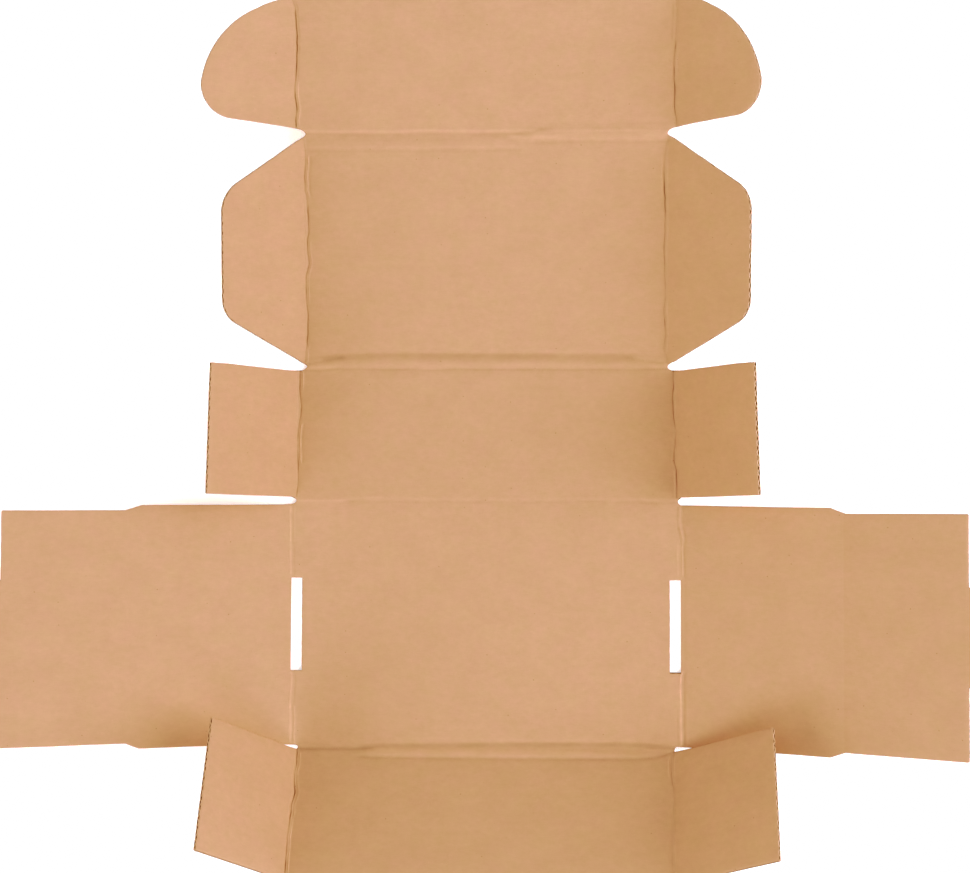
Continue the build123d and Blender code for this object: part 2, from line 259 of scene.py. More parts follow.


# Lines across the column: kind, points, amplitude in millimetres (up is
# positive), half width, and tint (the paper's tone made darker in the furrows
# and grooves as painted shade, and lighter on the ridges and bands as painted
# highlight).
ACROSS = [
    # tuck flap to lid, left part: a ridge, the face behind it pressed down
    ("hump", [(-124, 338.9), (-106.6, 338.4), (-73.6, 338.3), (-57.2, 338.1),
              (-40.7, 338.9), (-24.3, 338.6), (-7.9, 338.3), (8.5, 338.1),
              (24.9, 338.4), (33, 338.7)], 0.42, 1.8,
     [(-124, 0.11), (8, 0.12), (24, 0.06), (33, 0.05)]),
    ("notch", [(-124, 336.8), (-106.6, 336.3), (-73.7, 335.8), (-40.7, 336.3),
               (-7.9, 335.8), (8.5, 336.2), (24.9, 336.6), (33.1, 337.6),
               (38, 339.4)], -0.50, 1.4, -0.09),
    ("hump", [(-124, 334.0), (-73.7, 333.6), (-40, 333.6), (-7.9, 333.9),
              (20, 334.6), (28, 335.4)], -0.28, 3.6, -0.05),
    ("hump", [(-119, 327.4), (-58, 327.2), (-10, 327.3), (23, 327.4)], 0.12, 2.4, 0.04),
    ("notch", [(-119, 325.2), (-58, 324.9), (-10, 325.1), (23, 325.2)], -0.16, 2.2, -0.07),
    ("hump", [(18, 334.0), (32, 333.8), (46, 333.8)], 0.22, 2.2, 0.09),
    # and its right part, where the band lies higher and is narrower
    ("hump", [(37, 340.4), (45, 341.8), (57.6, 342.2), (73.9, 342.1), (90, 342.0),
              (106, 342.8), (122, 342.6)], -0.26, 2.6, -0.05),
    ("notch", [(35, 339.2), (41, 339.8), (57.6, 340.0), (74, 339.9), (90, 339.8),
               (100, 340.2), (124, 339.2)], -0.26, 1.3, -0.06),
    ("hump", [(45, 338.0), (74, 338.0), (100, 338.2), (118, 337.8)], 0.18, 1.1, 0.06),
    ("hump", [(33, 334.2), (41, 335.0), (57.6, 334.0), (73.9, 333.9), (90, 334.4),
              (124, 334.6)], 0.34, 4.2, 0.055),
    ("hump", [(52, 332.6), (74, 332.3), (92, 332.8), (110, 332.4)], 0.16, 1.1, 0.03),
    ("notch", [(34, 329.9), (41, 330.0), (57.6, 330.7), (74, 330.8), (90, 330.4),
               (106, 330.0), (119, 330.3), (124, 330.6)], -0.36, 1.4, -0.065),
    # lid to back wall: a wide pressed furrow, a flat band, a thin line
    ("hump", [(-112, 188.8), (-70, 189.6), (-37, 189.6), (29, 188.6), (87, 188.6),
              (104, 188.4)], 0.16, 2.2, 0.02),
    ("edge", [(-112, 182.6), (-104, 184.2), (-87, 184.9), (-70.4, 185.3),
              (-53.8, 185.4), (-37.2, 185.2), (-20.6, 185.1), (12.5, 185.0),
              (45.6, 184.9), (78.6, 184.5), (96, 184.6), (100, 184.6)], -0.66, 3.9,
     [(-112, -0.12), (-100, -0.20), (-20, -0.19), (30, -0.18), (55, -0.14), (100, -0.13)]),
    ("notch", [(-103.7, 182.9), (-87, 184.6), (-53.8, 185.6), (-20.6, 185.2),
               (45.6, 185.0)], -0.26, 1.6, -0.03),
    ("notch", [(-124.5, 178.6), (-114.8, 180.1), (-107.9, 181.8), (-101, 183.4)],
     -0.40, 1.6, -0.16),
    ("hump", [(-124.5, 181.8), (-114.8, 183.0), (-107, 184.0)], -0.34, 3.0, -0.085),
    ("hump", [(-124, 176.3), (-114, 176.8), (-106, 177.0)], 0.24, 1.5, 0.08),
    ("notch", [(98, 183.4), (104, 181.8), (111.5, 180.7), (119.7, 179.9),
               (125.6, 179.2)], -0.45, 1.5, -0.12),
    ("hump", [(104, 185.0), (122, 184.6)], -0.26, 2.6, -0.04),
    ("hump", [(104, 176.9), (122, 176.5)], 0.20, 1.5, 0.045),
    ("hump", [(-121, 176.9), (-70, 178.0), (-20, 178.1), (45, 178.1), (92, 178.2),
              (122, 177.4)], 0.16, 2.6, 0.05),
    ("notch", [(-124.5, 174.2), (-116, 174.2), (-103.7, 175.3), (-87, 175.2),
               (-70.4, 174.9), (-53.8, 175.1), (-37.2, 174.5), (-20.6, 175.3),
               (-4, 174.9), (29, 175.0), (62, 174.9), (78.6, 175.1), (95, 174.8),
               (111.5, 175.2), (125, 175.5)], -0.42, 1.0, -0.14),
    ("hump", [(-104, 173.4), (-52, 173.2), (0, 173.2), (60, 173.2), (110, 173.6)],
     -0.12, 1.6, -0.03),
    # back wall to base: one faint line
    ("notch", [(-96, 84.0), (-75.6, 83.9), (-59, 83.8), (-42.4, 83.6), (-25.9, 83.9),
               (-9.3, 83.7), (7.2, 83.7), (23.7, 83.3), (40.2, 83.8), (56.7, 84.2),
               (73.1, 84.4), (89.6, 84.1), (106, 83.9), (122.4, 83.4), (131, 84.0)],
     -0.22, 1.3, -0.065),
    ("hump", [(-97, 86.2), (-76, 87.0), (-60, 86.6), (-42, 86.2), (-9, 86.0),
              (24, 86.0), (57, 86.4), (90, 86.2), (122, 86.0)], 0.16, 1.8, 0.045),
    ("hump", [(-131, 84.5), (-108.8, 84.4), (-98, 84.6)], 0.20, 1.2, 0.13),
    ("hump", [(-82, 87.4), (-76, 87.2), (-70, 86.8)], 0.12, 0.9, 0.06),
    ("notch", [(108, 83.4), (122.4, 83.2), (130.4, 83.6)], -0.24, 1.2, -0.05),
    ("hump", [(108, 86.2), (122, 86.0), (129, 86.0)], 0.16, 1.2, 0.04),
    # base to front wall: a pressed band between two lines
    ("hump", [(-60, -78.8), (-26, -78.6), (23, -78.4), (72, -78.2), (100, -78.4)],
     0.12, 2.2, 0.04),
    ("edge", [(-84, -84.0), (-76, -83.1), (-60, -83.0), (-43, -82.7), (-10, -82.1),
              (6, -81.9), (23, -81.7), (39, -81.6), (55.5, -81.4), (72, -81.5),
              (88, -81.3), (105, -81.3), (113, -81.8), (121, -82.4),
              (129, -83.2)], -0.56, 2.5,
     [(-84, -0.12), (-74, -0.20), (60, -0.21), (104, -0.20), (129, -0.19)]),
    ("notch", [(-128, -86.6), (-120, -86.7), (-109, -86.6), (-92.7, -86.5),
               (-84, -86.2), (-79, -85.7)], -0.55, 2.2,
     [(-128, -0.22), (-120, -0.27), (-88, -0.26), (-79, -0.16)]),
    ("hump", [(-128.8, -82.2), (-123.2, -82.5), (-116.3, -82.9), (-106, -83.6)],
     -0.26, 1.6, -0.045),
    ("hump", [(-80, -88.8), (-43, -88.9), (6, -89.0), (55, -88.8), (104, -88.7),
              (116, -88.0)], 0.26, 4.0,
     [(-80, 0.10), (-60, 0.13), (50, 0.13), (72, 0.09), (122, 0.08)]),
    ("hump", [(-70, -90.4), (-26, -90.6), (23, -90.4), (72, -90.4), (104, -90.0)],
     0.14, 1.2, 0.02),
    ("notch", [(-84, -92.0), (-79.8, -92.4), (-59, -92.7), (-26, -92.8),
               (6.5, -93.0), (39, -92.9), (72, -92.7), (105, -92.3),
               (116, -91.2), (122.3, -89.4), (128, -87.2)], -0.50, 1.6,
     [(-84, -0.10), (50, -0.12), (66, -0.155), (110, -0.15), (128, -0.10)]),
    ("hump", [(112, -85.9), (119, -85.8), (125, -86.0)], 0.20, 1.3, 0.10),
    ("hump", [(-78, -94.8), (-26, -95.0), (39, -95.0), (104, -94.6)], -0.12, 1.8,
     -0.02),
]

# Lines beside the ears' and side panels' creases: side, from, to, offset
# outwards from the crease's line, amplitude, half width, tint (painted highlight
# where positive, painted shade where negative)
BESIDE = [
    ("tuck", -1, 375, 425, -1.6, -0.12, 1.2, -0.06),
    ("tuck", -1, 344, 370, -2.5, 0.26, 1.0, 0.12),
    ("tuck", -1, 374, 424, 2.3, 0.14, 0.9, 0.02),
    ("tuck", 1, 378, 396, 1.9, 0.16, 0.9, 0.02),
    ("tuck", 1, 344, 382, -1.8, 0.14, 0.9, 0.012),
    ("tuck", 1, 400, 425, -2.9, -0.12, 1.3, -0.05),
    ("lid", -1, 295, 320, -2.4, 0.26, 1.0, 0.16),
    ("lid", -1, 295, 320, -3.9, -0.14, 1.0, -0.07),
    ("lid", -1, 295, 320, 1.7, 0.14, 0.9, 0.03),
    ("lid", -1, 262, 292, 2.0, 0.20, 0.9, 0.03),
    ("lid", -1, 222, 262, 2.0, 0.18, 0.9, 0.03),
    ("lid", -1, 222, 262, -2.3, 0.20, 0.9, 0.06),
    ("lid", -1, 208, 222, 2.0, 0.20, 0.9, 0.03),
    ("lid", -1, 182, 192, -2.0, 0.18, 0.9, 0.03),
    ("lid", 1, 295, 320, -1.5, 0.18, 0.9, 0.07),
    ("lid", 1, 265, 290, 2.0, 0.18, 0.9, 0.03),
    ("lid", 1, 250, 262, 1.5, 0.16, 0.8, 0.03),
    ("lid", 1, 190, 220, 2.4, 0.20, 1.0, 0.05),
    ("back", -1, 162, 173, -2.5, 0.28, 0.9, 0.19),
    ("back", -1, 162, 173, 1.3, 0.16, 0.8, 0.05),
    ("back", -1, 138, 160, 3.4, 0.20, 1.1, 0.03),
    ("back", -1, 112, 136, -2.5, 0.26, 1.0, 0.14),
    ("back", -1, 112, 136, -3.9, -0.12, 1.0, -0.04),
    ("back", -1, 90, 110, 2.0, 0.20, 0.9, 0.035),
    ("back", 1, 140, 156, 2.0, 0.16, 0.9, 0.02),
    ("back", 1, 108, 136, -1.7, 0.16, 0.8, 0.02),
    ("back", 1, 90, 104, -1.9, 0.18, 0.9, 0.04),
    ("front", -1, -104, -91, -2.9, 0.28, 1.0, 0.18),
    ("front", -1, -104, -91, 2.5, 0.18, 0.9, 0.04),
    ("front", -1, -134, -106, -3.2, 0.18, 1.0, 0.04),
    ("front", -1, -134, -106, 2.7, 0.20, 1.0, 0.05),
    ("front", -1, -177, -137, -2.8, 0.28, 1.0, 0.19),
    ("front", -1, -177, -134, 1.9, 0.18, 0.9, 0.03),
    ("front", 1, -104, -91, -1.8, 0.22, 0.9, 0.10),
    ("front", 1, -104, -91, 2.9, 0.20, 1.0, 0.06),
    ("front", 1, -164, -130, -2.4, 0.10, 1.2, 0.01),
    # side panels
    ("side", -1, 35, 54, -0.4, 0.30, 1.5, 0.13),
    ("side", -1, 57, 80, -0.4, 0.30, 1.5, 0.15),
    ("side", -1, 57, 80, -3.3, 0.16, 1.0, 0.04),
    ("side", -1, -56, -34, -0.4, 0.30, 1.6, 0.13),
    ("side", -1, -82, -58, -3.6, 0.30, 0.9, 0.16),
    ("side", -1, -82, -58, -0.6, 0.30, 2.0, 0.14),
    ("side", -1, 34, 54, -2.9, -0.14, 1.2, -0.025),
    ("side", -1, -56, -34, -2.9, -0.16, 1.2, -0.03),
    ("side", 1, 66, 80, -1.5, -0.26, 1.1, -0.09),
    ("side", 1, 56, 66, -1.5, -0.16, 1.1, -0.06),
    ("side", 1, 57, 80, 0.3, 0.30, 1.3, 0.08),
    ("side", 1, 57, 80, 2.6, -0.14, 1.2, -0.04),
    ("side", 1, 34, 54, -3.1, 0.18, 1.3, 0.08),
    ("side", 1, 34, 54, 0.3, 0.28, 1.1, 0.12),
    ("side", 1, 34, 54, 2.0, -0.14, 1.1, -0.05),
    ("side", 1, -56, -33, 0.3, 0.34, 1.7, 0.21),
    ("side", 1, -56, -33, 3.4, -0.18, 1.3, -0.06),
    ("side", 1, -82, -58, 0.3, 0.34, 1.8, 0.20),
    ("side", 1, -82, -58, 3.1, -0.18, 1.3, -0.09),
    ("side", 1, -82, -58, -2.0, -0.16, 1.1, -0.05),
    ("side", 1, -82, -48, 5.0, 0.14, 0.9, 0.04),
]
# depth of the pinched groove along each ear's crease, which also sets how much
# painted shade darkens the groove: [(v, depth)]
GROOVES = {
    ("tuck", -1): (0.80, [(427.5, 0.8), (405, 1.0), (376, 0.9), (370, 0.5),
                          (362, 0.8), (345, 1.0), (340, 0.9)]),
    ("tuck", 1): (0.70, [(427.5, 0.35), (408, 0.3), (398, 0.35), (394, 0.92),
                         (376, 0.8), (366, 1.08), (354, 1.0), (347, 0.65),
                         (340, 0.5)]),
    ("lid", -1): (0.52, [(333, 0.4), (323, 0.8), (300, 0.95), (293, 0.55),
                         (286, 1.1), (272, 1.0), (264, 1.0), (250, 0.9),
                         (238, 0.85), (214, 0.9), (208, 1.15), (190, 1.1),
                         (181, 0.9)]),
    ("lid", 1): (0.60, [(333, 0.2), (316, 0.3), (308, 0.7), (298, 1.35),
                        (286, 0.85), (270, 0.6), (258, 0.7), (240, 0.6),
                        (222, 0.55), (214, 0.7), (197, 0.68), (190, 0.45),
                        (181, 0.4)]),
    ("back", -1): (0.48, [(175.6, 1.1), (158, 0.8), (150, 0.7), (138, 0.9),
                          (124, 0.8), (112, 1.0), (98, 1.1), (88, 0.9)]),
    ("back", 1): (0.52, [(175.6, 0.5), (166, 0.8), (150, 1.1), (140, 1.2),
                         (133, 0.4), (128, 0.7), (112, 0.8), (105, 1.5),
                         (92, 1.75), (88, 1.6)]),
    ("front", -1): (0.90, [(-87, 1.0), (-98, 0.7), (-104, 0.6), (-117, 0.85),
                           (-123, 0.65), (-130, 0.8), (-134, 1.2), (-150, 1.0),
                           (-177, 1.1)]),
    ("front", 1): (0.27, [(-87, 0.8), (-94, 0.6), (-106, 1.2), (-114, 0.7),
                          (-130, 0.6), (-146, 0.3), (-160, 0.5), (-177, 0.4)]),
}
EAR_SPANS = {"tuck": (tuck_start, tuck_free), "lid": (lid_start, lid_end),
             "back": (rear_high, back_end), "front": (front_free, front_low),
             "side": (-side_half_h, side_half_h)}
EAR_CREASE = {"tuck": tuck_crease, "lid": lid_crease, "back": back_crease,
              "front": front_crease, "side": base_half}


def crease_line(name, s, v):
    """Distance from the middle line of an ear's or side panel's crease at v."""
    if name == "side":
        return line_at(SIDE_LINES[s], v)
    c = line_at(EAR_LINES[(name, s)], v)
    c = c + 0.24 * lattice_noise(v, v * 0 + 3 * s, 4.6, 4.6, 71 + len(name))
    if s > 0:
        c = c + 0.45 + (0.3 * between(v, 346, 369, 4.0) if name == "tuck" else 0.0)
    return c


def inner_relief(u, v):
    """Height of the inner face over its flat panel, and its painted shading: painted shade in the creases'
    grooves and furrows, painted highlight on their ridges.
    """
    h, painted_shading = np.zeros_like(u), np.zeros_like(u)
    au, sg = np.abs(u), np.sign(u)
    # ears' and side panels' creases: relief, with painted shade in the grooves and painted highlight or shade on
    # the lines beside them
    for (name, s), pts in list(EAR_LINES.items()) + [(("side", k), q) for k, q in SIDE_LINES.items()]:
        lo, hi = EAR_SPANS[name]
        m = (sg == s) & (v >= lo - 0.6) & (v <= hi + 0.6) & (np.abs(au - EAR_CREASE[name]) < 14)
        if not m.any():
            continue
        vm, d = v[m], au[m] - crease_line(name, s, v[m])
        wob = lattice_noise(vm, vm * 0 + s * 7, 5.0, 5.0, 11 + len(name))
        if name != "side":
            depth, along = GROOVES[(name, s)]
            broken = lattice_noise(vm, vm * 0 + 5 * s, 5.5, 5.5, 23 + len(name))
            k = depth * line_at(along, vm) * (0.96 + 0.42 * broken)
            h[m] -= k * notch(d, 0.80 + 0.10 * wob) + 0.16 * hump(d, 3.0) * k
            # painted shade along the groove, darker where the groove is deeper, and on the right-hand creases a
            # band of painted shade just outside it
            painted_shading[m] -= (0.36 if s < 0 else 0.46) * k * notch(d, 0.80) + 0.02 * hump(d, 2.4)
            if s > 0:
                painted_shading[m] -= 0.055 * hump(d - 1.4, 1.5)
        else:
            h[m] -= 0.16 * hump(d, 4.5)
        for n2, s2, a, b, off, amp, half, shade_paint in BESIDE:
            if n2 == name and s2 == s:
                w = between(vm, a, b, 2.4) * (1.0 + 0.5 * wob)
                h[m] += amp * w * hump(d - off, 0.85 * half)
                # painted highlight on the ridges beside the crease, painted shade in the furrows
                painted_shading[m] += 1.1 * shade_paint * w * hump(d - off, 0.85 * half)
    # creases across the column: relief, with painted shade in their furrows and grooves and painted highlight on
    # their ridges and bands
    col = au < 132
    for kind, pts, amp, half, shade_paint in ACROSS:
        p = np.array(sorted(pts), float)
        mid = p[:, 1].mean()
        m = col & (np.abs(v - mid) < 16)
        um = u[m]
        d = v[m] - np.interp(um, p[:, 0], p[:, 1])
        wob = lattice_noise(um, um * 0 + mid, 9.0, 9.0, int(mid) % 97 + 3)
        w = between(um, p[0, 0], p[-1, 0], 5.0) * (0.9 + (0.34 if half < 1.7 else 0.2) * wob)
        shape = {"notch": notch, "hump": hump, "edge": edge}[kind](d, half)
        h[m] += amp * w * shape
        # painted shade in the furrows, painted highlight on the ridges
        painted_shading[m] += graded(shade_paint, um) * w * shape
    # roll-over crease: pressed lightly, hardly worked
    for s in (-1, 1):
        m = (sg == s) & (np.abs(v) < side_half_h) & (au > 236) & (au < 258)
        h[m] -= 0.10 * hump(au[m] - (step_out + roll_strip / 2), 2.4)
    # panels aren't perfectly flat
    h += 0.10 * lattice_noise(u, v, 46.0, 34.0, 5) + 0.035 * lattice_noise(u, v, 15.0, 11.0, 6)
    crush = np.zeros_like(u)
    for c in (84.6, 178.2, 336.7, -84.4):
        crush = np.maximum(crush, hump(v - c, 9.0) * (au < 131))
    h += 0.10 * crush * lattice_noise(u, v, 7.0, 2.6, 8)
    return h, painted_shading


def outer_relief(u, v):
    """Height of the outer face over its flat panel, towards the inner face."""
    au = np.abs(u)
    h = 0.05 + 0.04 * lattice_noise(u, v, 50.0, 38.0, 15)
    for (name, s), pts in list(EAR_LINES.items()) + [(("side", k), q) for k, q in SIDE_LINES.items()]:
        lo, hi = EAR_SPANS[name]
        m = (np.sign(u) == s) & (v >= lo - 0.6) & (v <= hi + 0.6)
        h[m] += 0.26 * hump(au[m] - EAR_CREASE[name], 2.6)
    for c, half in ((84.6, 2.8), (178.2, 3.0), (336.7, 3.2), (-84.4, 3.0)):
        h += 0.24 * hump(v - c, half) * (au < 133)
    return h


# -------------------------------------------------------------- the outline
def arc3(a, b, c, n):
    """n points after a on the arc from a through b to c."""
    (ax, ay), (bx, by), (cx, cy) = a, b, c
    d = 2 * (ax * (by - cy) + bx * (cy - ay) + cx * (ay - by))
    ox = ((ax * ax + ay * ay) * (by - cy) + (bx * bx + by * by) * (cy - ay)
          + (cx * cx + cy * cy) * (ay - by)) / d
    oy = ((ax * ax + ay * ay) * (cx - bx) + (bx * bx + by * by) * (ax - cx)
          + (cx * cx + cy * cy) * (bx - ax)) / d
    r = ((ax - ox) ** 2 + (ay - oy) ** 2) ** 0.5
    ta, tb, tc = (np.arctan2(y - oy, x - ox) for x, y in (a, b, c))
    span = (tc - ta) % (2 * pi)
    if (tb - ta) % (2 * pi) > span:
        span -= 2 * pi
    return [(ox + r * cos(ta + span * k / n), oy + r * sin(ta + span * k / n))
            for k in range(1, n + 1)]


def rounded(points):
    """Corners given as (u, v, radius) turned into arcs."""
    out = []
    for k, p in enumerate(points):
        if len(p) == 2 or p[2] == 0 or k in (0, len(points) - 1):
            out.append((p[0], p[1]))
            continue
        a, c = np.array(points[k - 1][:2], float), np.array(points[k + 1][:2], float)
        b, r = np.array(p[:2], float), p[2]
        e, f = (a - b) / np.linalg.norm(a - b), (c - b) / np.linalg.norm(c - b)
        half = np.arccos(np.clip(e @ f, -1, 1)) / 2
        reach = min(r / np.tan(half), 0.49 * np.linalg.norm(a - b), 0.49 * np.linalg.norm(c - b))
        r = reach * np.tan(half)
        o = b + (e + f) / np.linalg.norm(e + f) * (r / np.sin(half))
        p0, p1 = b + e * reach, b + f * reach
        mid = o + (b - o) / np.linalg.norm(b - o) * r
        n = max(3, int(r * (pi - 2 * half) / 1.2))
        out.append(tuple(p0))
        out += arc3(tuple(p0), tuple(mid), tuple(p1), n)
    return out


def half_outline(s):
    """The outline on one side of the middle line, from the tuck flap's free
    edge to the front wall's, as distances from the middle line.  The worked
    ends of the notches, and how the panels' edges run, differ a little from
    side to side."""
    left = s < 0
    o = [(0.0, tuck_free), (131.4, tuck_free)]
    o += arc3((131.4, tuck_free), (144.5, 424.6), (156.0, 419.9), 12)
    o += arc3((156.0, 419.9), (183.4, 399.8), (196.6, 371.0), 34)
    o += arc3((196.6, 371.0), (191.6, 355.9), (178.0, 347.8), 18)
    # between tuck flap and lid
    if left:
        o += [(138.7, 341.9), (134.3, 341.2), (129.7, 340.3), (126.7, 339.5),
              (125.3, 338.8), (124.3, 337.9), (123.7, 336.9), (124.0, 335.9),
              (124.9, 334.9), (126.4, 333.9)]
    else:
        o += [(141.6, 342.4), (135.8, 341.4), (131.7, 340.5), (127.9, 339.7),
              (126.2, 339.0), (124.9, 338.1), (124.1, 336.9), (124.0, 335.9),
              (124.6, 334.9), (126.2, 333.8)]
    end = 189.1 if left else 191.2
    o += rounded([(126.3, 333.85), (130.2, 331.8, 0.8), (end, 293.2, 25.0 if left else 22.0),
                  (end, 212.5, 18.0), (131.0, 181.9 if left else 180.9)])
    # between lid and back wall: the left notch ends in a point
    if left:
        o += [(128.4, 180.4), (126.1, 179.1), (124.5, 178.0), (123.7, 177.25),
              (124.6, 176.3), (126.0, 175.2), (127.1, 174.7), (128.5, 174.5)]
    else:
        o += [(128.2, 180.0), (126.3, 178.9), (125.3, 178.0), (124.9, 177.0),
              (125.2, 176.1), (126.0, 175.3), (127.3, 174.7), (129.0, 174.4)]
    o += rounded([(129.1, 174.4), (139.0, 174.3, 4.0), (171.5, 175.1, 6.0),
                  (209.5 if left else 210.7, 176.3, 0.5), (212.6 if left else 215.0, 89.6, 0.8),
                  (147.0, 87.4, 2.0), (135.2, 87.1)])
    # between back wall and base
    if left:
        o += [(133.7, 86.8), (132.4, 86.2), (131.3, 85.3), (130.9, 84.4),
              (131.3, 83.5), (132.4, 82.8), (133.8, 82.4)]
        o += rounded([(135.1, 82.15), (145.0, 81.75, 2.0), (235.7, 81.6, 3.0),
                      (246.6, 78.1, 3.0), (327.2, 78.1, 1.0), (327.4, 31.4, 0.5),
                      (333.6, 31.4, 2.0), (333.6, -31.4, 2.0), (327.6, -31.4, 0.5),
                      (327.9, -78.8, 1.0), (245.6, -79.0, 3.0), (237.0, -82.6, 3.0),
                      (195.0, -82.6, 2.0), (140.0, -83.35, 2.0), (131.4, -83.6)])
        o += [(130.3, -83.8), (129.4, -84.3), (128.9, -85.1), (129.1, -85.9),
              (129.9, -86.7), (131.2, -87.3)]
    else:
        o += [(134.2, 86.6), (133.0, 86.0), (132.2, 85.1), (132.0, 84.1),
              (132.3, 83.1), (133.2, 82.2)]
        o += rounded([(134.4, 81.8), (146.0, 81.5, 2.0), (237.0, 81.1, 3.0),
                      (247.0, 77.4, 3.0), (326.8, 78.2, 1.0), (326.8, 31.4, 0.5),
                      (333.0, 31.4, 2.0), (333.0, -31.4, 2.0), (326.8, -31.4, 0.5),
                      (326.9, -79.0, 1.0), (247.0, -79.1, 3.0), (237.0, -82.8, 3.0),
                      (160.0, -82.8, 2.0), (138.0, -83.2, 2.0), (131.2, -83.1)])
        o += [(130.4, -83.6), (129.9, -84.6), (129.5, -85.6), (129.5, -86.5),
              (130.4, -87.2)]
    end = 210.2 if left else 211.2
    o += rounded([(132.4, -87.45), (145.0, -87.95, 3.0), (end, -88.5, 0.5),
                  (end, -176.4, 1.0), (130.9, -177.1)])
    o += [(0.0, front_free)]
    return o


def near_crease(p):
    """Distance to the nearest crease, to set how finely the outline is cut."""
    u, v = abs(p[0]), p[1]
    d = min(abs(v - c) if u < 134 else 99 for c in (84.6, 178.2, 336.7, -84.4))
    for name, (lo, hi) in EAR_SPANS.items():
        if lo - 1 <= v <= hi + 1:
            d = min(d, abs(u - EAR_CREASE[name]))
    if abs(v) < 84:
        d = min(d, abs(u - (step_out + roll_strip / 2)))
    return d


def resample(loop):
    """Divides a closed loop finely, most finely where a crease crosses it."""
    out = []
    n = len(loop)
    for k in range(n):
        a, b = np.array(loop[k], float), np.array(loop[(k + 1) % n], float)
        length = np.linalg.norm(b - a)
        if length < 1e-6:
            continue
        x = 0.0
        while x < length - 1e-9:
            p = a + (b - a) * x / length
            out.append(p)
            step = 0.75 if near_crease(p) < 5 else (1.3 if near_crease(p) < 9 else 2.6)
            if length - x < 1.5 * step:
                break
            x += step
    return np.array(out)


def loops():
    right, left = half_outline(1), half_outline(-1)
    outer = [(u, v) for u, v in right] + [(-u, v) for u, v in left[::-1][1:-1]]
    made = [resample(outer)]
    for s in (-1, 1):
        lo, hi = (slot_low - 0.2, slot_high) if s < 0 else (slot_low - 0.8, slot_high - 0.8)
        o1, o2 = (0.25, 0.1) if s < 0 else (0.0, 0.0)
        hole = rounded([(s * 130.2, lo), (s * (slot_in + o1), lo, 0.4),
                        (s * (slot_in + o2), hi, 0.4), (s * (slot_out + o2), hi, 0.4),
                        (s * (slot_out + 1.6 * o1), lo, 0.4), (s * 130.2, lo)])
        made.append(resample(hole[:-1]))
    # die-cut edges waver a little, most where they cross the flutes
    for k, p in enumerate(made):
        q = np.roll(p, -1, 0) - np.roll(p, 1, 0)
        q /= np.linalg.norm(q, axis=1)[:, None]
        normal = np.stack([q[:, 1], -q[:, 0]], 1)
        across = np.abs(q[:, 1])
        w = (0.05 + 0.07 * across) * lattice_noise(p[:, 0], p[:, 1], 2.6, 2.3, 31 + k)
        w += 0.10 * lattice_noise(p[:, 0], p[:, 1], 24.0, 24.0, 41 + k)
        crossing = np.array([near_crease(x) < 3.5 for x in p])
        made[k] = p + normal * (w * ~crossing)[:, None]
    return made


LOOPS = loops()
EDGE = np.concatenate(LOOPS)
edge_tree = kdtree.KDTree(len(EDGE))
for k, p in enumerate(EDGE):
    edge_tree.insert((p[0], p[1], 0), k)
edge_tree.balance()


def to_edge(p):
    """Distance of each point of the pattern to the nearest point of its edge."""
    return np.array([edge_tree.find((x, y, 0))[2] for x, y in p])


def inside(p):
    """True for the points inside the outline and outside the slots."""
    r = np.zeros(len(p), bool)
    x, y = p[:, 0], p[:, 1]
    for loop in LOOPS:
        a, b = loop, np.roll(loop, -1, 0)
        for (x0, y0), (x1, y1) in zip(a, b):
            if y0 == y1:
                continue
            m = (y >= min(y0, y1)) & (y < max(y0, y1))
            if m.any():
                r[m] ^= x[m] < x0 + (y[m] - y0) / (y1 - y0) * (x1 - x0)
    return r


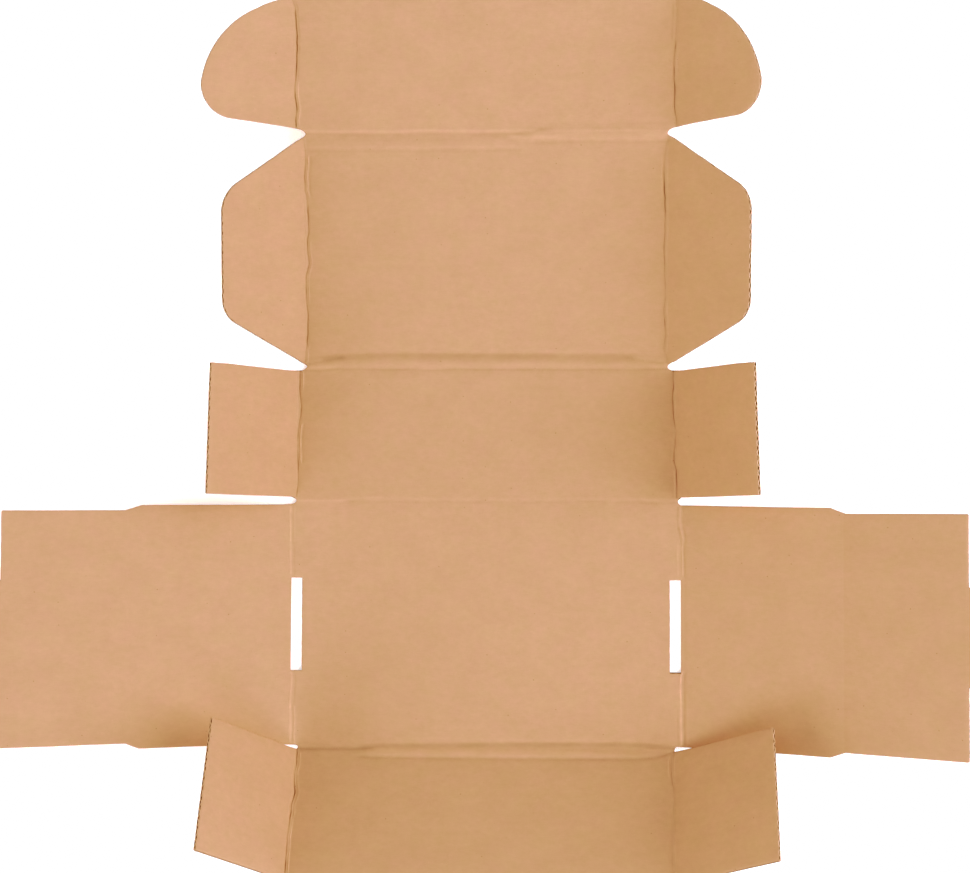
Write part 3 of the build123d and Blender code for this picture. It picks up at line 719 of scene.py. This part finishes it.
# ---------------------------------------------------------- points to join up
def crease_points(fine):
    """Rows of points that follow the creases' lines."""
    made = []
    offs = ([-7.5, -5.8, -4.6, -4.0, -3.5, -3.0, -2.6, -2.2, -1.8, -1.45, -1.1, -0.75,
             -0.4, 0, 0.4, 0.75, 1.1, 1.45, 1.8, 2.2, 2.6, 3.0, 3.5, 4.1, 5.2, 6.4, 7.8] if fine
            else [-6.0, -3.6, -2.2, -1.0, 0, 1.0, 2.2, 3.6, 6.0])
    step = 1.15 if fine else 2.2
    for (name, s), pts in list(EAR_LINES.items()) + [(("side", k), q) for k, q in SIDE_LINES.items()]:
        lo, hi = EAR_SPANS[name]
        for v in np.arange(lo + 0.5, hi, step):
            c = crease_line(name, s, np.array([v]))[0]
            if not fine:
                c = 0.5 * c + 0.5 * EAR_CREASE[name]
            made += [(s * (c + o), v) for o in offs]
    rows = {  # v of the rows across the column, by crease
        84.6: [-7, -4.6, -3.2, -2.2, -1.5, -0.9, -0.3, 0.3, 0.9, 1.5, 2.3, 3.4, 5, 7],
        178.2: [-9, -6.5, -5.2, -4.4, -3.8, -3.3, -2.8, -2.2, -1.4, -0.4, 0.7, 1.8,
                2.9, 3.8, 4.6, 5.3, 6.0, 6.7, 7.5, 8.6, 10.2, 12.2],
        336.7: [-13.5, -12.2, -11.2, -10.2, -8.8, -7.4, -6.6, -6.0, -5.4, -4.6,
                -3.6, -2.6, -1.6, -0.8, -0.2, 0.4, 1.0, 1.7, 2.4, 3.1, 3.8, 4.8,
                6.0, 7.6, 9.5],
        -84.4: [-13, -11.2, -10.0, -9.1, -8.4, -7.8, -7.1, -6.2, -5.2, -4.0, -2.8,
                -1.8, -1.0, -0.2, 0.5, 1.2, 1.9, 2.5, 3.1, 3.7, 4.5, 5.8, 7.5, 9.5],
    }
    for c, offs in rows.items():
        if not fine:
            offs = offs[::2]
        for k, o in enumerate(offs):
            us = np.arange(-133, 133.1, 1.9 if fine else 3.8)
            us = us + 0.95 * (k % 2)
            made += [(u, c + o + 0.12 * sin(u * 0.37 + k)) for u in us]
    for s in (-1, 1):
        for o in (-4, -2.2, -1.1, 0, 1.1, 2.2, 4):
            made += [(s * (step_out + roll_strip / 2 + o), v) for v in np.arange(-80, 80, 3.0)]
    return np.array(made)


def panel_points(step):
    rng = np.random.RandomState(3)
    us, vs = np.arange(-334, 335, step), np.arange(-179, 430, step)
    g = np.stack(np.meshgrid(us, vs, indexing="ij"), -1)
    g[:, ::2, 0] += step / 2
    g = g.reshape(-1, 2)
    return g + (rng.rand(*g.shape) - 0.5) * 0.12 * step


def thin(points, cell):
    """Keeps one point in each cell, so that no two lie almost together."""
    key = np.floor(points / cell).astype(np.int64)
    _, keep = np.unique(key[:, 0] * 100003 + key[:, 1], return_index=True)
    return points[np.sort(keep)]


def joined(fine, step):
    """Triangles over the pattern.  Returns the points, the edge loops' points
    first, and the triangles."""
    near = crease_points(fine)
    near = near[inside(near)]
    near = thin(near, 0.28 if fine else 0.6)
    rim = 5.0
    far = panel_points(step)
    far = far[inside(far)]
    tree = kdtree.KDTree(len(near))
    for k, p in enumerate(near):
        tree.insert((p[0], p[1], 0), k)
    tree.balance()
    far = far[np.array([tree.find((x, y, 0))[2] for x, y in far]) > 0.5 * step]
    # a row of points just inside the edge, for the crushed cut
    ring = []
    for loop in LOOPS:
        q = np.roll(loop, -1, 0) - np.roll(loop, 1, 0)
        q /= np.linalg.norm(q, axis=1)[:, None]
        normal = np.stack([q[:, 1], -q[:, 0]], 1)
        for off in ((0.45, 1.1) if fine else (0.9,)):
            ring.append(loop + normal * off)
            ring.append(loop - normal * off)
    ring = np.concatenate(ring)
    ring = ring[inside(ring)]
    ring = ring[to_edge(ring) > (0.36 if fine else 0.6)]
    ring = thin(ring, 0.34 if fine else 0.9)
    rest = np.concatenate([near, far])
    rest = rest[to_edge(rest) > (1.3 if fine else 1.5)]
    points = np.concatenate([EDGE, ring, rest])
    edges, first = [], 0
    for loop in LOOPS:
        n = len(loop)
        edges += [(first + k, first + (k + 1) % n) for k in range(n)]
        first += n
    co, _, faces, orig, _, _ = geometry.delaunay_2d_cdt(
        [Vector((float(x), float(y))) for x, y in points], edges, [], 1, 1e-5, True)
    back = np.array([o[0] if o else -1 for o in orig])
    if (back < 0).any() or len(set(back)) != len(points):
        print("outline points lost or added:", (back < 0).sum(), len(points) - len(set(back)))
    tri = back[np.array([f for f in faces if len(f) == 3])]
    mid = points[tri].mean(1)
    keep = inside(mid)
    tri = tri[keep]
    a, b, c = points[tri[:, 0]], points[tri[:, 1]], points[tri[:, 2]]
    area = (b[:, 0] - a[:, 0]) * (c[:, 1] - a[:, 1]) - (b[:, 1] - a[:, 1]) * (c[:, 0] - a[:, 0])
    tri[area < 0] = tri[area < 0][:, ::-1]
    used = np.zeros(len(points), bool)
    used[tri] = True
    used[:len(EDGE)] = True
    index = np.cumsum(used) - 1
    return points[used], index[tri]


# ------------------------------------------------------------------- meshes
def new_mesh(name, verts, faces, flat, painted_shading, materials, slots, sharp=None):
    mesh = bpy.data.meshes.new(name)
    mesh.from_pydata((verts * MM).tolist(), [], faces)
    mesh.update()
    for m in materials:
        mesh.materials.append(m)
    mesh.polygons.foreach_set("material_index", slots)
    mesh.polygons.foreach_set("use_smooth", [True] * len(mesh.polygons))
    a = mesh.attributes.new("flat_place", "FLOAT_VECTOR", "POINT")
    a.data.foreach_set("vector", flat.astype(np.float32).ravel())
    # painted shade and highlight of the creases, and small tone changes towards the cut edges, carried to the
    # material
    a = mesh.attributes.new("painted_shade_and_highlight", "FLOAT", "POINT")
    a.data.foreach_set("value", painted_shading.astype(np.float32))
    if sharp is not None:
        e = np.zeros(len(mesh.edges) * 2, np.int32)
        mesh.edges.foreach_get("vertices", e)
        mesh.edges.foreach_set("use_edge_sharp", sharp(e.reshape(-1, 2)))
    obj = bpy.data.objects.new(name, mesh)
    bpy.context.scene.collection.objects.link(obj)
    return obj


def liner_shell(name, upper, lower, up_h, low_h, materials, face_slots, layer):
    """A liner as a closed thin shell: a net of points above and one below,
    joined along the cut edge.  face_slots are the materials' places for the
    upper side, the lower side and the cut edge."""
    (pu, tu), (pl, tl) = upper, lower
    hu, painted_shading_u = up_h(pu)
    hl, painted_shading_l = low_h(pl)
    nb, nu = len(EDGE), len(pu)
    verts = np.concatenate([fold_points(pu, hu), fold_points(pl, hl)])
    faces = tu.tolist() + (tl[:, ::-1] + nu).tolist()
    slots = [face_slots[0]] * len(tu) + [face_slots[1]] * len(tl)
    first = 0
    for loop in LOOPS:
        n = len(loop)
        for k in range(n):
            a, b = first + k, first + (k + 1) % n
            faces.append((a, b, b + nu, a + nu))
        first += n
    slots += [face_slots[2]] * (len(faces) - len(slots))
    flat = np.zeros((len(verts), 3))
    flat[:nu, :2], flat[nu:, :2] = pu * MM, pl * MM
    flat[:, 2] = layer
    ends = np.cumsum([len(q) for q in LOOPS])
    starts = ends - np.array([len(q) for q in LOOPS])

    def sharp(e):
        r = np.zeros(len(e), bool)
        for base in (0, nu):
            a, b = e[:, 0] - base, e[:, 1] - base
            on = (a >= 0) & (b >= 0) & (a < nb) & (b < nb)
            r |= on & (np.abs(a - b) == 1)
            for s, f in zip(starts, ends):
                r |= on & (np.minimum(a, b) == s) & (np.maximum(a, b) == f - 1)
        return r

    obj = new_mesh(name, verts, faces, flat, np.concatenate([painted_shading_u, painted_shading_l]),
                   materials, slots, sharp)
    bm = bmesh.new()
    bm.from_mesh(obj.data)
    bmesh.ops.recalc_face_normals(bm, faces=bm.faces)
    bm.to_mesh(obj.data)
    bm.free()
    return obj


def crushed(p, reach):
    """1 at the cut edge, 0 from reach inwards."""
    x = np.clip(1 - to_edge(p) / reach, 0, 1)
    return x * x


def pinched(p):
    """How hard the die has pinched the edge: hardly, on the lid's ears and
    where the side panels start beside the front wall."""
    a, v = np.abs(p[:, 0]), p[:, 1]
    lid_ears = (a > 150) & (v > lid_start) & (v < lid_end)
    side_foot = (a > 128) & (a < 200) & (v > front_high - 0.5) & (v < -70)
    return np.where(lid_ears, 0.3, np.where(side_foot, 0.15, 0.9))


def inner_top(p):
    h, painted_shading = inner_relief(p[:, 0], p[:, 1])
    c = crushed(p, 1.6)
    # the inner face is made a little lighter towards the cut edge
    return h - 0.42 * c * pinched(p), painted_shading + 0.01 * c


def inner_under(p):
    """The liner's flute side.  Its net is coarse, so it keeps below the lowest
    place of the inner face around each point."""
    h, painted_shading = inner_relief(p[:, 0], p[:, 1])
    for r in (1.1, 2.5):
        for k in range(6):
            du, dv = r * cos(k * pi / 3 + r), r * sin(k * pi / 3 + r)
            h = np.minimum(h, inner_relief(p[:, 0] + du, p[:, 1] + dv)[0])
    return h - 0.42 * crushed(p, 1.6) * pinched(p) - liner, painted_shading


def outer_under(p):
    h = outer_relief(p[:, 0], p[:, 1])
    c = crushed(p, 1.6)
    # the outer face is made a little darker towards the cut edge
    return -t + h + 0.56 * c * pinched(p), -0.02 * c


def outer_top(p):
    h, painted_shading = outer_under(p)
    return h + liner, painted_shading


def spans(v):
    """Where a line across the pattern at height v lies on the board."""
    xs = []
    for loop in LOOPS:
        a, b = loop, np.roll(loop, -1, 0)
        m = (a[:, 1] <= v) != (b[:, 1] <= v)
        xs += list(a[m, 0] + (v - a[m, 1]) / (b[m, 1] - a[m, 1]) * (b[m, 0] - a[m, 0]))
    xs = sorted(xs)
    return [(xs[k], xs[k + 1]) for k in range(0, len(xs) - 1, 2)]


def fluting(name, materials):
    """The fluted paper: a wave along v that fills the room between the liners.
    At the cut ends of the flutes the die has crushed it thicker."""
    inset = 0.05
    runs = [(front_free, front_low, "front"), (front_low, -82.7, None),
            (-82.6, -79.2, "side"), (-78.8, slot_low, "side"),
            (slot_low, slot_high, "side"), (slot_high, 77.2, "side"),
            (78.2, rear_low, "side"), (rear_low, rear_high, None),
            (rear_high, 174.15, "back"), (174.15, back_end, "back"),
            (back_end, lid_start, None),
            (lid_start, lid_end, "lid"), (lid_end, tuck_start, None),
            (tuck_start, tuck_free, "tuck")]
    verts, faces, slots = [], [], []
    for lo, hi, name_ in runs:
        count = max(4, int(round((hi - lo - 0.3) / (pitch / 8))))
        vs = np.linspace(lo + 0.15, hi - 0.15, count + 1)
        cols = [-110, -70, -35, 0, 35, 70, 110]
        if name_:
            c = EAR_CREASE[name_]
            for s in (-1, 1):
                cols += [s * (c + o) for o in (-3.6, -2.4, -1.6, -0.8, 0, 0.8, 1.6, 2.4, 3.6, 14, 40, 62)]
                if name_ == "side":
                    cols += [s * q for q in (230, 243, 245, 246, 247, 248, 250, 285, 318)]
                else:
                    cols += [s * q for q in (c + 76,)]
        else:
            cols += [s * q for s in (-1, 1) for q in (121, 124, 127)]
        cols = np.array(sorted(cols), float)
        rows = [spans(v) for v in vs]
        if not name_:
            # a band across the column ends where the side panels and ears start
            rows = [[(max(a, -131.2), min(b, 131.2)) for a, b in r
                     if a < 100 and b > -100] for r in rows]
        # rows that graze an edge or a slot's end take their neighbour's span
        counts = [len(r) for r in rows]
        parts = max(sorted(set(counts)), key=counts.count)
        good = [k for k, n in enumerate(counts) if n == parts]
        rows = [rows[min(good, key=lambda j: abs(j - k))] for k in range(len(rows))]
        for part in range(parts):
            a = np.array([r[part][0] for r in rows]) + inset
            b = np.array([r[part][1] for r in rows]) - inset
            reach = np.minimum(1.6, 0.3 * (b - a))
            use = cols[(cols > a.min() + 1.6) & (cols < b.max() - 1.6)]
            uu = np.clip(use[None, :], (a + reach)[:, None], (b - reach)[:, None])
            uu = np.concatenate([np.stack([a, a + 0.3 * reach, a + reach], 1), uu,
                                 np.stack([b - reach, b - 0.3 * reach, b], 1)], 1)
            vv = np.repeat(vs[:, None], uu.shape[1], 1)
            near = np.minimum(uu - a[:, None], b[:, None] - uu).ravel()
            p = np.stack([uu.ravel(), vv.ravel()], 1)
            top = inner_under(p)[0]
            low = outer_top(p)[0]
            thick = medium * (1 + 1.6 * np.clip(1 - near / 0.8, 0, 1))
            mid, amp = (top + low) / 2, (top - low) / 2 - thick / 2
            amp = np.maximum(amp, 0.02)
            wave = 2 * pi * p[:, 1] / pitch
            slope = amp * 2 * pi / pitch * np.cos(wave)
            half = thick / 2 * np.sqrt(1 + slope ** 2)
            centre = mid + amp * np.sin(wave)
            nr, nc = uu.shape
            base = sum(len(q) for q in verts)
            n = nr * nc
            verts.append(np.concatenate([np.c_[p, centre + half], np.c_[p, centre - half]]))
            idx = base + np.arange(n).reshape(nr, nc)
            q = np.stack([idx[:-1, :-1], idx[:-1, 1:], idx[1:, 1:], idx[1:, :-1]], -1).reshape(-1, 4)
            faces += q.tolist()
            faces += (q[:, ::-1] + n).tolist()
            ring = np.concatenate([idx[0, :-1], idx[:-1, -1], idx[-1, :0:-1], idx[:0:-1, 0]])
            nxt = np.roll(ring, -1)
            faces += np.stack([nxt, ring, ring + n, nxt + n], -1).tolist()
            slots += [0] * (2 * len(q)) + [1] * len(ring)
    p = np.concatenate(verts)
    flat = np.c_[p[:, :2] * MM, np.full(len(p), 0.21)]
    obj = new_mesh(name, fold(p[:, 0], p[:, 1], p[:, 2]), faces, flat,
                   np.zeros(len(p)), materials, slots)
    bm = bmesh.new()
    bm.from_mesh(obj.data)
    bmesh.ops.remove_doubles(bm, verts=bm.verts, dist=2e-6)
    bmesh.ops.dissolve_degenerate(bm, edges=bm.edges, dist=2e-6)
    bmesh.ops.recalc_face_normals(bm, faces=bm.faces)
    bm.to_mesh(obj.data)
    bm.free()
    obj.data.set_sharp_from_angle(angle=radians(50))
    return obj


# ---------------------------------------------------------------- materials
def node(tree, kind, at=(0, 0), **values):
    n = tree.nodes.new(kind)
    n.location = at
    for k, v in values.items():
        if k in n.inputs:
            n.inputs[k].default_value = v
        else:
            setattr(n, k, v)
    return n


def link(tree, a, b):
    tree.links.new(a, b)


def paper(name, colour, rough, mottle=1.0, bump=1.0, ripple=0.0, seed=0.0):
    """Unbleached kraft paper.  Its pattern is laid out on the flat sheet, in
    metres, so it doesn't stretch or slide over the folds."""
    m = bpy.data.materials.new(name)
    m.use_nodes = True
    tree = m.node_tree
    tree.nodes.clear()
    out = node(tree, "ShaderNodeOutputMaterial", (1500, 0))
    bsdf = node(tree, "ShaderNodeBsdfPrincipled", (1200, 0))
    bsdf.inputs["Roughness"].default_value = rough
    bsdf.inputs["Specular IOR Level"].default_value = 0.35
    bsdf.inputs["IOR"].default_value = 1.46
    link(tree, bsdf.outputs[0], out.inputs[0])

    place = node(tree, "ShaderNodeAttribute", (-1500, 0), attribute_name="flat_place")
    shift = node(tree, "ShaderNodeVectorMath", (-1320, 0), operation="ADD")
    shift.inputs[1].default_value = (seed, seed * 0.7, 0)
    link(tree, place.outputs["Vector"], shift.inputs[0])
    where = shift.outputs[0]

    def scaled(x, y, z=1.0, at=(0, 0)):
        n = node(tree, "ShaderNodeVectorMath", at, operation="MULTIPLY")
        n.inputs[1].default_value = (x, y, z)
        link(tree, where, n.inputs[0])
        return n.outputs[0]

    def noise(vector, scale, detail, at, roughness=0.55, distortion=0.0):
        n = node(tree, "ShaderNodeTexNoise", at)
        n.inputs["Scale"].default_value = scale
        n.inputs["Detail"].default_value = detail
        n.inputs["Roughness"].default_value = roughness
        n.inputs["Distortion"].default_value = distortion
        link(tree, vector, n.inputs["Vector"])
        return n.outputs["Fac"]

    def ramp(value, lo, hi, a, b, at):
        n = node(tree, "ShaderNodeMapRange", at)
        n.inputs["From Min"].default_value = lo
        n.inputs["From Max"].default_value = hi
        n.inputs["To Min"].default_value = a
        n.inputs["To Max"].default_value = b
        link(tree, value, n.inputs["Value"])
        return n.outputs["Result"]

    def times(a, b, at):
        n = node(tree, "ShaderNodeMath", at, operation="MULTIPLY")
        link(tree, a, n.inputs[0])
        link(tree, b, n.inputs[1])
        return n.outputs[0]

    # cloudy formation of the pulp, wide and narrow, a bit longer across
    clouds = noise(scaled(1.0, 1.25), 38.0, 4.0, (-1000, 500))
    flocs = noise(scaled(0.8, 1.1), 210.0, 5.0, (-1000, 250), 0.6)
    fibre_x = noise(scaled(0.16, 1.0), 1500.0, 3.0, (-1000, 0), 0.6, 0.35)
    fibre_y = noise(scaled(1.0, 0.2), 1300.0, 3.0, (-1000, -250), 0.6, 0.35)
    grain = noise(scaled(1.0, 1.0), 2600.0, 2.0, (-1000, -500))

    tone = ramp(clouds, 0.25, 0.75, 1 - 0.036 * mottle, 1 + 0.036 * mottle, (-700, 500))
    tone = times(tone, ramp(flocs, 0.2, 0.8, 1 - 0.056 * mottle, 1 + 0.056 * mottle, (-700, 250)), (-500, 400))
    tone = times(tone, ramp(fibre_x, 0.2, 0.8, 1 - 0.034 * mottle, 1 + 0.034 * mottle, (-700, 0)), (-350, 300))
    tone = times(tone, ramp(fibre_y, 0.2, 0.8, 1 - 0.020 * mottle, 1 + 0.020 * mottle, (-700, -250)), (-200, 200))
    tone = times(tone, ramp(grain, 0.2, 0.8, 1 - 0.016 * mottle, 1 + 0.016 * mottle, (-700, -500)), (-50, 150))

    # hue wanders a little between redder and yellower pulp
    hue = noise(scaled(1.0, 1.1), 64.0, 4.0, (-1000, 800), 0.6)
    tinted = node(tree, "ShaderNodeMix", (-100, 700), data_type="RGBA")
    r, g, b = colour
    tinted.inputs[6].default_value = (r * 1.015, g * 0.983, b * 1.014, 1)
    tinted.inputs[7].default_value = (r * 0.986, g * 1.016, b * 0.972, 1)
    link(tree, ramp(hue, 0.3, 0.7, 0.0, 1.0, (-700, 800)), tinted.inputs[0])

    # sparse dark specks of bark and a few pale flecks, each in its own cell
    def specks(scale, size, share, at):
        vor = node(tree, "ShaderNodeTexVoronoi", at, voronoi_dimensions="2D")
        vor.inputs["Scale"].default_value = scale
        vor.inputs["Randomness"].default_value = 1.0
        warp = node(tree, "ShaderNodeVectorMath", (at[0] - 180, at[1]), operation="ADD")
        wob = node(tree, "ShaderNodeTexNoise", (at[0] - 360, at[1]))
        wob.inputs["Scale"].default_value = 900.0
        link(tree, where, wob.inputs["Vector"])
        small = node(tree, "ShaderNodeVectorMath", (at[0] - 270, at[1] - 120), operation="SCALE")
        small.inputs["Scale"].default_value = 0.0006
        link(tree, wob.outputs["Color"], small.inputs[0])
        link(tree, where, warp.inputs[0])
        link(tree, small.outputs[0], warp.inputs[1])
        link(tree, warp.outputs[0], vor.inputs["Vector"])
        spot = ramp(vor.outputs["Distance"], size * 0.45, size, 1.0, 0.0, (at[0] + 200, at[1]))
        sep = node(tree, "ShaderNodeSeparateColor", (at[0] + 200, at[1] - 200))
        link(tree, vor.outputs["Color"], sep.inputs[0])
        some = ramp(sep.outputs[0], share * 0.7, share, 1.0, 0.0, (at[0] + 400, at[1] - 200))
        return times(spot, some, (at[0] + 600, at[1]))

    dark = specks(62.0, 0.030, 0.16, (-1000, -900))
    tiny = specks(230.0, 0.065, 0.10, (-1000, -1300))
    pale = specks(118.0, 0.060, 0.09, (-1000, -1700))

    tone = times(tone, ramp(dark, 0, 1, 1.0, 0.66, (0, -700)), (150, 100))
    tone = times(tone, ramp(tiny, 0, 1, 1.0, 0.86, (0, -850)), (300, 50))
    tone = times(tone, ramp(pale, 0, 1, 1.0, 1.07, (0, -1000)), (450, 0))

    # painted shade and highlight from the creases darken and lighten the paper's colour
    painted_shade_and_highlight = node(tree, "ShaderNodeAttribute", (300, -300), attribute_name="painted_shade_and_highlight")
    one = node(tree, "ShaderNodeMath", (450, -300), operation="ADD")
    one.inputs[1].default_value = 1.0
    link(tree, painted_shade_and_highlight.outputs["Fac"], one.inputs[0])
    tone = times(tone, one.outputs[0], (620, 0))

    mix = node(tree, "ShaderNodeVectorMath", (850, 300), operation="SCALE")
    link(tree, tinted.outputs[2], mix.inputs[0])
    link(tree, tone, mix.inputs["Scale"])
    link(tree, mix.outputs[0], bsdf.inputs["Base Color"])

    # relief of fibres and grain, and the flutes just telling through the liner
    height = times(fibre_x, fibre_y, (300, -600))
    add = node(tree, "ShaderNodeMath", (450, -600), operation="ADD")
    link(tree, height, add.inputs[0])
    link(tree, ramp(grain, 0, 1, 0, 0.5, (300, -800)), add.inputs[1])
    b1 = node(tree, "ShaderNodeBump", (900, -400))
    b1.inputs["Strength"].default_value = 0.35 * bump
    b1.inputs["Distance"].default_value = 0.00016
    link(tree, add.outputs[0], b1.inputs["Height"])
    normal = b1.outputs[0]
    if ripple:
        sep = node(tree, "ShaderNodeSeparateXYZ", (0, -1200))
        link(tree, place.outputs["Vector"], sep.inputs[0])
        ang = node(tree, "ShaderNodeMath", (150, -1200), operation="MULTIPLY")
        ang.inputs[1].default_value = 2 * pi / (pitch * MM)
        link(tree, sep.outputs[1], ang.inputs[0])
        wave = node(tree, "ShaderNodeMath", (300, -1200), operation="SINE")
        link(tree, ang.outputs[0], wave.inputs[0])
        b2 = node(tree, "ShaderNodeBump", (900, -700))
        b2.inputs["Strength"].default_value = 1.0
        b2.inputs["Distance"].default_value = ripple * MM
        link(tree, wave.outputs[0], b2.inputs["Height"])
        link(tree, normal, b2.inputs["Normal"])
        normal = b2.outputs[0]
    link(tree, normal, bsdf.inputs["Normal"])
    return m


KRAFT = (0.438, 0.230, 0.138)
inner_paper = paper("kraft_inner_liner", KRAFT, 0.86, ripple=0.012)
outer_paper = paper("kraft_outer_liner", tuple(c * f for c, f in zip(KRAFT, (0.99, 0.985, 0.97))),
                    0.84, ripple=0.03, seed=3.1)
cut_paper = paper("kraft_cut_edge", tuple(c * f for c, f in zip(KRAFT, (1.10, 1.16, 1.22))),
                  0.92, mottle=2.0, seed=5.3)
flute_paper = paper("fluting_paper", tuple(c * f for c, f in zip(KRAFT, (0.80, 0.89, 1.02))),
                    0.90, mottle=1.4, seed=8.7)

# ------------------------------------------------------------------- pieces
fine_net = joined(True, 5.0)
coarse_net = joined(False, 9.0)

inner = liner_shell("board_inner_liner", fine_net, coarse_net, inner_top, inner_under,
                    [inner_paper, cut_paper, flute_paper], (0, 2, 1), 0.0)
outer = liner_shell("board_outer_liner", coarse_net, coarse_net, outer_top, outer_under,
                    [outer_paper, cut_paper, flute_paper], (2, 0, 1), 0.1)
flutes = fluting("board_fluting", [flute_paper, cut_paper])

for piece in (inner, outer, flutes):
    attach(piece, "root")
    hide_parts("box_blank")
    print(piece.name, "triangles", sum(len(p.vertices) - 2 for p in piece.data.polygons))

# -------------------------------------------------------------------- stage
floor_mesh = bpy.data.meshes.new("studio_floor")
floor_mesh.from_pydata([(-9, -9, -0.0002), (9, -9, -0.0002), (9, 9, -0.0002), (-9, 9, -0.0002)],
                       [], [(0, 1, 2, 3)])
floor = bpy.data.objects.new("studio_floor", floor_mesh)
bpy.context.scene.collection.objects.link(floor)
white = bpy.data.materials.new("studio_white")
white.use_nodes = True
wb = white.node_tree.nodes["Principled BSDF"]
wb.inputs["Base Color"].default_value = (0.96, 0.96, 0.96, 1)
wb.inputs["Roughness"].default_value = 0.95
wb.inputs["Specular IOR Level"].default_value = 0.1
wb.inputs["Emission Color"].default_value = (1, 1, 1, 1)
wb.inputs["Emission Strength"].default_value = 0.30
floor_mesh.materials.append(white)

world = bpy.data.worlds.new("studio_world")
bpy.context.scene.world = world
world.use_nodes = True
bg = world.node_tree.nodes["Background"]
bg.inputs["Color"].default_value = (1.0, 1.0, 1.0, 1)
bg.inputs["Strength"].default_value = 0.53


def area(name, place, size, power, colour=(1, 1, 1), target=(0.0, 0.12, 0.0)):
    data = bpy.data.lights.new(name, "AREA")
    data.shape = "RECTANGLE"
    data.size, data.size_y = size
    data.energy = power
    data.color = colour
    obj = bpy.data.objects.new(name, data)
    obj.location = place
    way = Vector(target) - Vector(place)
    obj.rotation_euler = way.to_track_quat("-Z", "Y").to_euler()
    bpy.context.scene.collection.objects.link(obj)
    return obj


area("soft_right", (2.4, 0.1, 1.6), (2.0, 2.4), 78.5)
area("soft_left", (-2.8, 0.1, 0.7), (1.2, 2.6), 30.0, (1.04, 1.01, 0.94))
area("soft_front", (0.0, -1.8, 2.2), (1.2, 1.2), 13.0)
area("soft_front_left", (-1.9, -1.8, 1.3), (1.6, 1.6), 39.0)
area("soft_back_right", (1.35, 1.6, 2.2), (1.2, 1.2), 11.0)

# ------------------------------------------------------------------- camera
cam_data = bpy.data.cameras.new("camera")
cam_data.sensor_fit = "HORIZONTAL"
cam_data.sensor_width = 36.0
cam_data.lens = 1147.393 / 0.6899637 / 970 * 36.0
cam_data.clip_start, cam_data.clip_end = 0.01, 50.0
cam = bpy.data.objects.new("camera", cam_data)
rx, ry, rz = radians(-1.489546), radians(-2.034674), radians(-0.130908)
turn = Matrix.Rotation(rx, 3, "X") @ Matrix.Rotation(ry, 3, "Y") @ Matrix.Rotation(rz, 3, "Z")
cam.matrix_world = Matrix.Translation((0.04025940, 0.09920638, 1.14739302)) @ turn.transposed().to_4x4()
bpy.context.scene.collection.objects.link(cam)
bpy.context.scene.camera = cam

scene = bpy.context.scene
scene.view_settings.view_transform = "Standard"
scene.view_settings.look = "None"
scene.view_settings.exposure = 0.0
scene.view_settings.gamma = 1.0
# a camera's usual tone curve, a little steeper in the dark tones
scene.view_settings.use_curve_mapping = True
curves = scene.view_settings.curve_mapping
curves.extend = "HORIZONTAL"
tones = [(0.0, 0.0), (0.05, 0.028), (0.10, 0.081), (0.145, 0.139), (0.191, 0.209),
         (0.25, 0.294), (0.326, 0.386), (0.45, 0.513), (0.62, 0.665), (0.68, 0.727),
         (0.74, 0.805), (0.80, 0.90), (0.85, 1.0), (1.0, 1.0)]
greens = [(0.25, 0.248), (0.30, 0.293), (0.34, 0.330), (0.38, 0.375), (0.43, 0.434),
          (0.52, 0.523)]
blues = [(0.10, 0.084), (0.141, 0.125), (0.162, 0.145), (0.188, 0.173), (0.216, 0.206),
         (0.24, 0.237), (0.266, 0.270), (0.32, 0.325), (0.5, 0.5)]
for tone, points in ((curves.curves[3], tones[1:-1]), (curves.curves[1], greens),
                     (curves.curves[2], blues)):
    for x, y in points:
        tone.points.new(x, y)
    for point in tone.points:
        point.handle_type = "AUTO_CLAMPED"
curves.update()
